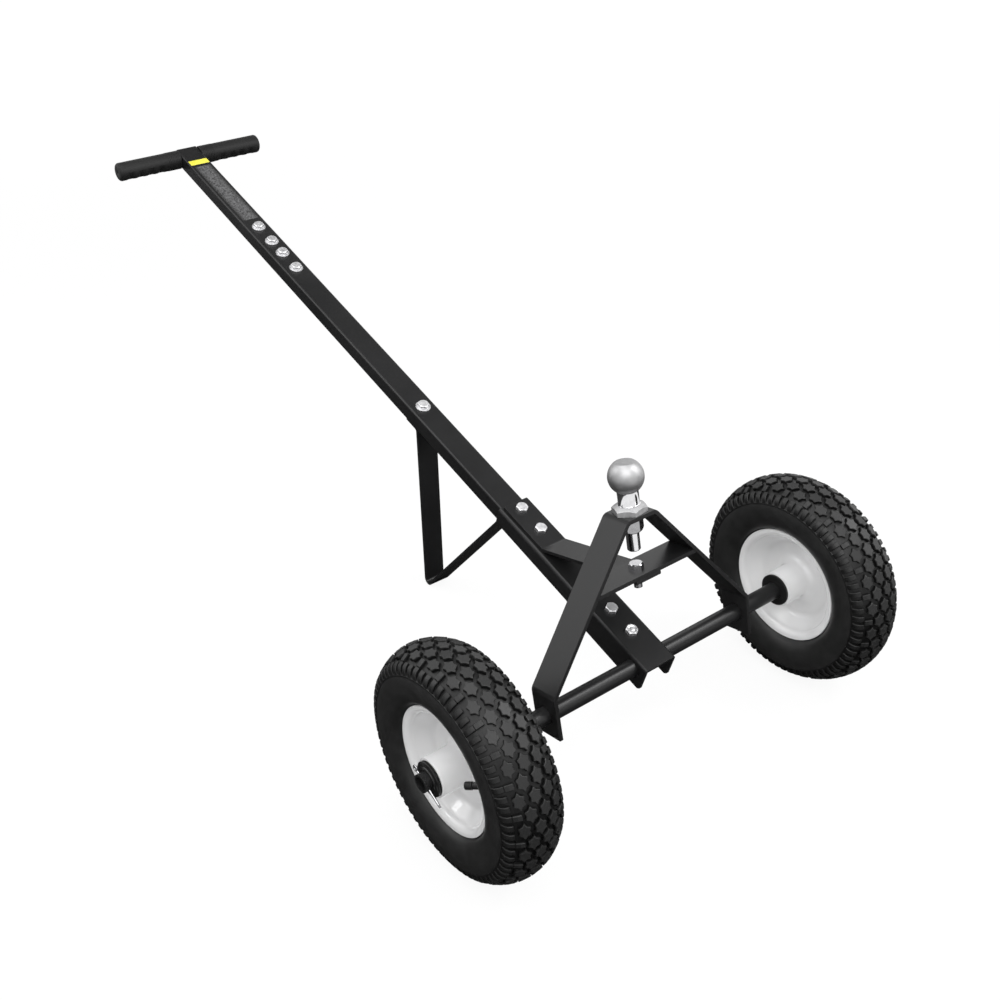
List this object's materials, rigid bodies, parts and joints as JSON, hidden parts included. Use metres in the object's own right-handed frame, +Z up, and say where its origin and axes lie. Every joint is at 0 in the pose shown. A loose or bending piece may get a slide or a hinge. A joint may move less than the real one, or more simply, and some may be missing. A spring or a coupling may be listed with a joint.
{
  "type": "trailer jack wheel",
  "caption": "Hand trailer dolly on pneumatic wheels: a leaning A-frame carries a hitch ball, and a long tube handle with a T-bar and a fixed V stand steers it.",
  "frame": {"origin": "middle of the footprint, on the ground that the tyres and the stand's foot rest on", "axes": "+Y from the hitch ball towards the T-bar, +X along the axle towards the right wheel, +Z up"},
  "size_m": [0.7854, 1.5504, 0.5957],
  "materials": {
    "black_powder_coat": "satin black powder coat",
    "grip_rubber": "matt moulded rubber",
    "ball_steel": "plated steel, satin ball and bright neck",
    "tyre_rubber": "black tyre rubber",
    "white_rim": "gloss white",
    "tube_rubber": "butyl rubber",
    "black_nylon": "black nylon",
    "valve_rubber": "black rubber",
    "black_washer": "satin black",
    "zinc_steel": "bright zinc plate"
  },
  "bodies": {
    "frame": {"lower_handle_tube": "black_powder_coat", "upper_handle_tube": "black_powder_coat", "splice_sleeve": "zinc_steel", "splice_bolts": "zinc_steel", "splice_washers": "zinc_steel", "splice_nuts": "zinc_steel", "cross_bar": "black_powder_coat", "left_grip": "grip_rubber", "right_grip": "grip_rubber", "stand_strap": "black_powder_coat", "stand_bolt": "zinc_steel", "stand_washer": "zinc_steel", "stand_nut": "zinc_steel", "axle_channel": "black_powder_coat", "channel_bolts": "zinc_steel", "channel_nuts": "zinc_steel", "brace_strap": "black_powder_coat", "brace_bolts": "zinc_steel", "brace_nuts": "zinc_steel", "a_frame": "black_powder_coat", "cross_plate": "black_powder_coat", "cross_plate_bolt": "zinc_steel", "cross_plate_nut": "zinc_steel", "hitch_ball": "ball_steel", "hitch_lock_washer": "zinc_steel", "hitch_nut": "zinc_steel", "axle": "black_powder_coat", "left_stop_washer": "black_washer", "left_outer_washer": "black_washer", "left_split_pin": "zinc_steel", "right_stop_washer": "black_washer", "right_outer_washer": "black_washer", "right_split_pin": "zinc_steel"},
    "left_wheel": {"left_tyre": "tyre_rubber", "left_inner_tube": "tube_rubber", "left_rim": "white_rim", "left_outer_bush": "black_nylon", "left_inner_bush": "black_nylon", "left_valve_stem": "valve_rubber", "left_valve_cap": "valve_rubber"},
    "right_wheel": {"right_tyre": "tyre_rubber", "right_inner_tube": "tube_rubber", "right_rim": "white_rim", "right_outer_bush": "black_nylon", "right_inner_bush": "black_nylon", "right_valve_stem": "valve_rubber", "right_valve_cap": "valve_rubber"}
  },
  "joints": [
    {"name": "left_wheel_spin", "type": "hinge", "parent": "frame", "child": "left_wheel", "pos_m": [-0.3235, -0.60672, 0.1685], "axis": [1, 0, 0], "continuous": true},
    {"name": "right_wheel_spin", "type": "hinge", "parent": "frame", "child": "right_wheel", "pos_m": [0.3235, -0.60672, 0.1685], "axis": [1, 0, 0], "continuous": true}
  ]
}
